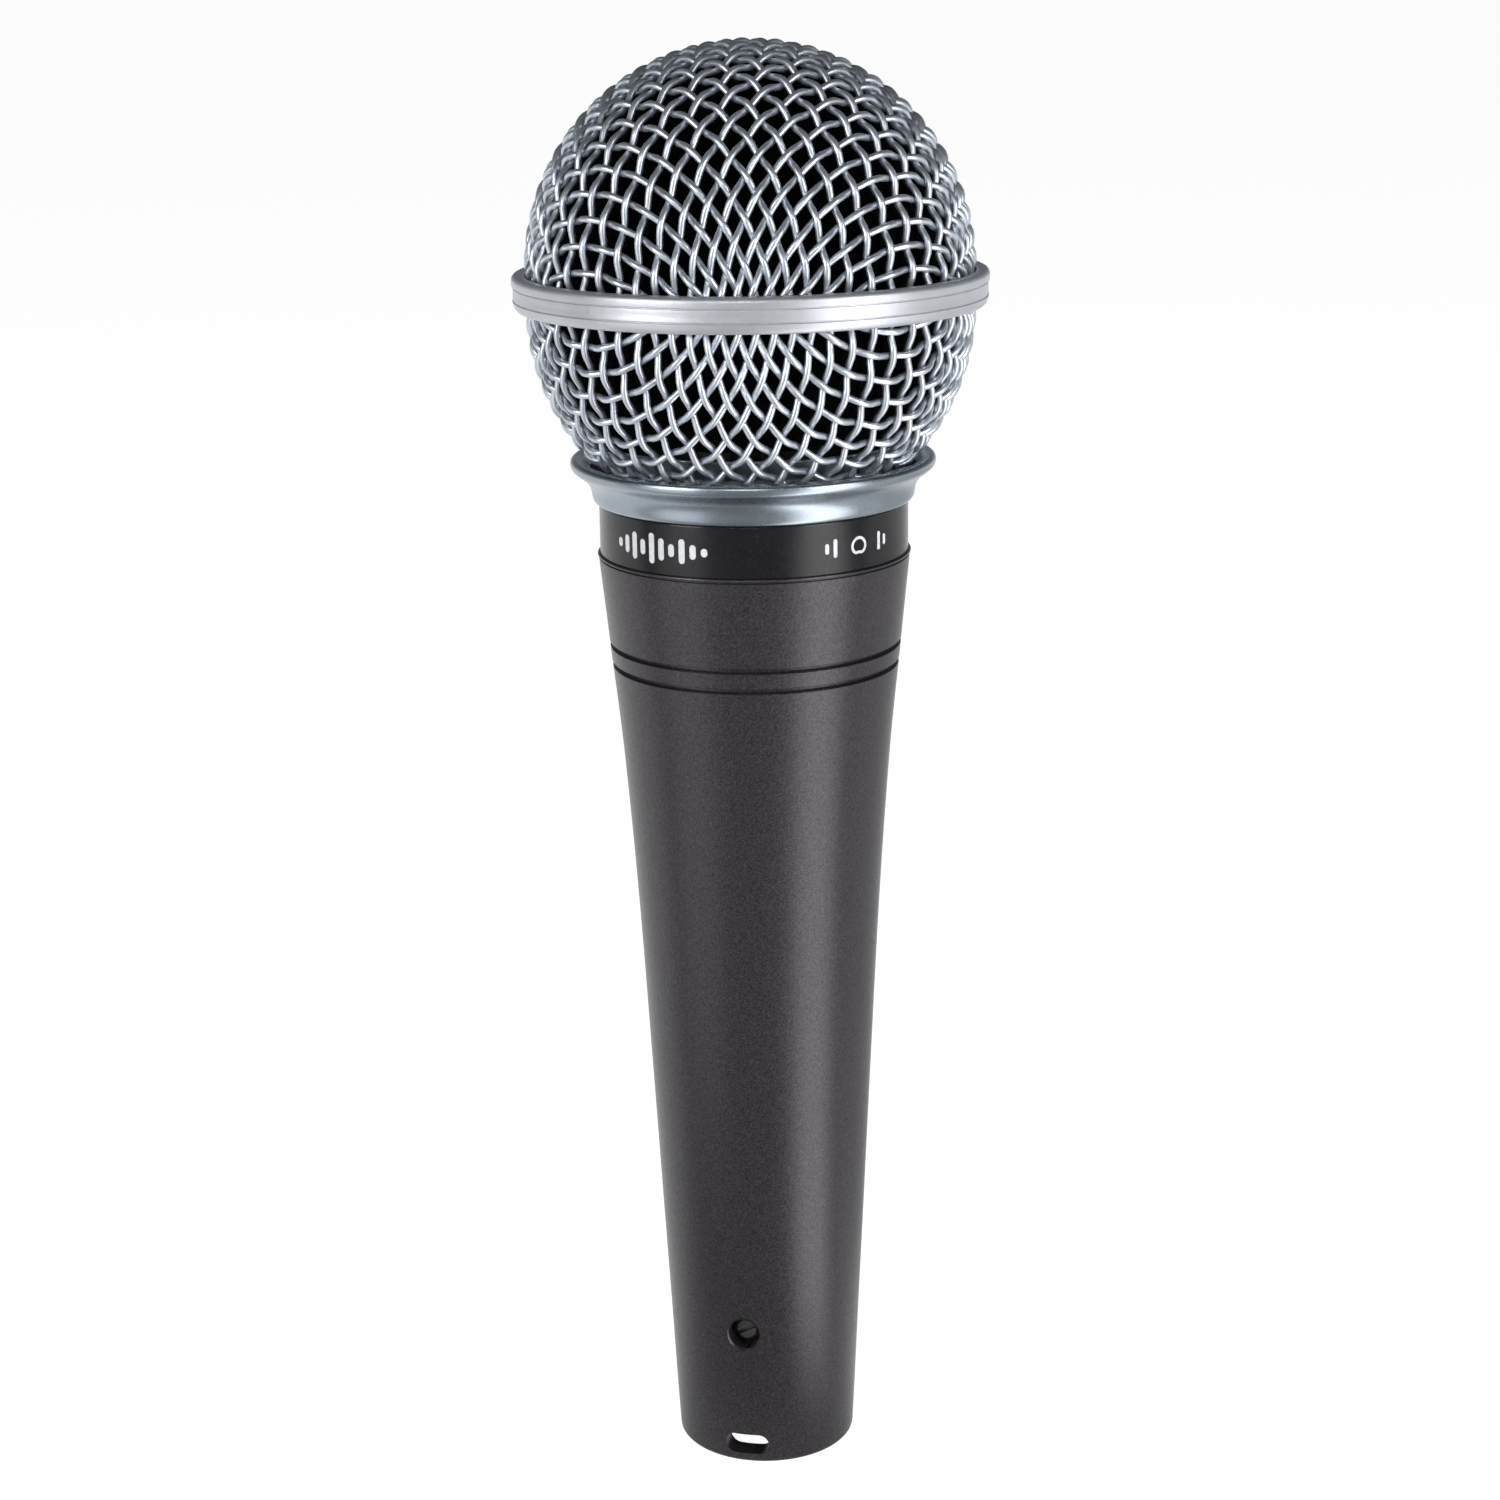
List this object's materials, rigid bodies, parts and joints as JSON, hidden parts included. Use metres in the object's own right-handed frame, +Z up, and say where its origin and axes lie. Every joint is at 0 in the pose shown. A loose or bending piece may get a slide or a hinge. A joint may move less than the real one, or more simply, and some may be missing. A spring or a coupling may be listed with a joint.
{
  "type": "handheld dynamic microphone",
  "caption": "Handheld dynamic vocal microphone with a woven wire ball grille, mid ring, flared collar and a tapered dark enamel handle ending in a recessed three-contact socket.",
  "frame": {"origin": "centre of the flat bottom face of the handle's connector end", "axes": "+Z up along the microphone's axis towards the grille, -Y towards the side with the screw-access hole and the latch slot"},
  "size_m": [0.056, 0.056, 0.1754],
  "materials": {
    "dark_enamel": "satin dark grey enamel with a fine speckle",
    "aluminium": "turned, bare",
    "band_black": "black satin",
    "silver_paint": "matte silver paint",
    "wire_cloth": "plated woven wire, satin",
    "foam_black": "open-cell foam, black",
    "black_plastic": "moulded, matte",
    "black_rubber": "moulded, matte",
    "port_cloth": "fine woven screen cloth",
    "polyester_film": "clear thin film",
    "copper_wire": "enamelled winding wire",
    "plated_steel": "nickel plated",
    "sintered_magnet": "dark plated magnet",
    "laminated_steel": "varnished laminations",
    "terminal_board": "paper laminate board",
    "silver_plate": "silver plated contact",
    "wire_red": "insulation",
    "wire_green": "insulation",
    "wire_yellow": "insulation",
    "wire_black": "insulation"
  },
  "bodies": {
    "handle": {"handle_shell": "dark_enamel", "thread_neck": "aluminium", "label_band": "band_black", "shock_mount": "black_rubber", "transformer_core": "laminated_steel", "transformer_coil": "copper_wire", "transformer_cradle": "black_rubber", "lead_wire_a": "wire_green", "lead_wire_b": "wire_black", "output_wire_1": "wire_black", "output_wire_2": "wire_red", "output_wire_3": "wire_yellow", "connector_insert": "black_plastic", "pin_1": "silver_plate", "pin_2": "silver_plate", "pin_3": "silver_plate", "ground_tab": "silver_plate"},
    "windscreen": {"foam_windscreen": "foam_black"},
    "grille": {"grille_collar": "silver_paint", "grille_cup_mesh": "wire_cloth", "grille_ring": "silver_paint", "grille_dome_mesh": "wire_cloth", "grille_retainer": "aluminium"},
    "cartridge": {"capsule_housing": "aluminium", "rear_port_cloth": "port_cloth", "front_cap": "black_plastic", "front_screen": "port_cloth", "diaphragm_clamp": "black_plastic", "diaphragm_basket": "black_plastic", "pole_plate": "plated_steel", "centre_pole": "plated_steel", "magnet": "sintered_magnet", "yoke_cup": "plated_steel", "damping_felt": "port_cloth", "rear_chamber": "black_plastic", "terminal_board": "terminal_board", "terminal_a": "silver_plate", "terminal_b": "silver_plate"},
    "diaphragm": {"diaphragm": "polyester_film", "voice_coil": "copper_wire"},
    "connector_screw": {"connector_screw": "plated_steel"}
  },
  "joints": [
    {"name": "grille_lift", "type": "slide", "parent": "handle", "child": "windscreen", "axis": [0, 0, 1], "range_m": [0, 0.005]},
    {"name": "grille_turn", "type": "hinge", "parent": "windscreen", "child": "grille", "pos_m": [0, 0, 0.1234], "axis": [0, 0, 1], "range_deg": [0, 1440]},
    {"name": "cartridge_float", "type": "slide", "parent": "handle", "child": "cartridge", "axis": [0, 0, 1], "range_m": [-0.0008, 0.0008], "stiffness_N_per_m": 3000, "springref_m": 0.00013, "deforming": ["shock_mount", "lead_wire_a", "lead_wire_b"]},
    {"name": "diaphragm_travel", "type": "slide", "parent": "cartridge", "child": "diaphragm", "axis": [0, 0, 1], "range_m": [-0.00025, 0.00025], "stiffness_N_per_m": 250},
    {"name": "connector_screw_turn", "type": "hinge", "parent": "handle", "child": "connector_screw", "pos_m": [0, -0.0065, 0.018], "axis": [0, -1, 0], "range_deg": [0, 360]}
  ],
  "couplings": [
    {"joint": "grille_lift", "follows": "grille_turn", "m_per_rad": 0.00019894}
  ]
}
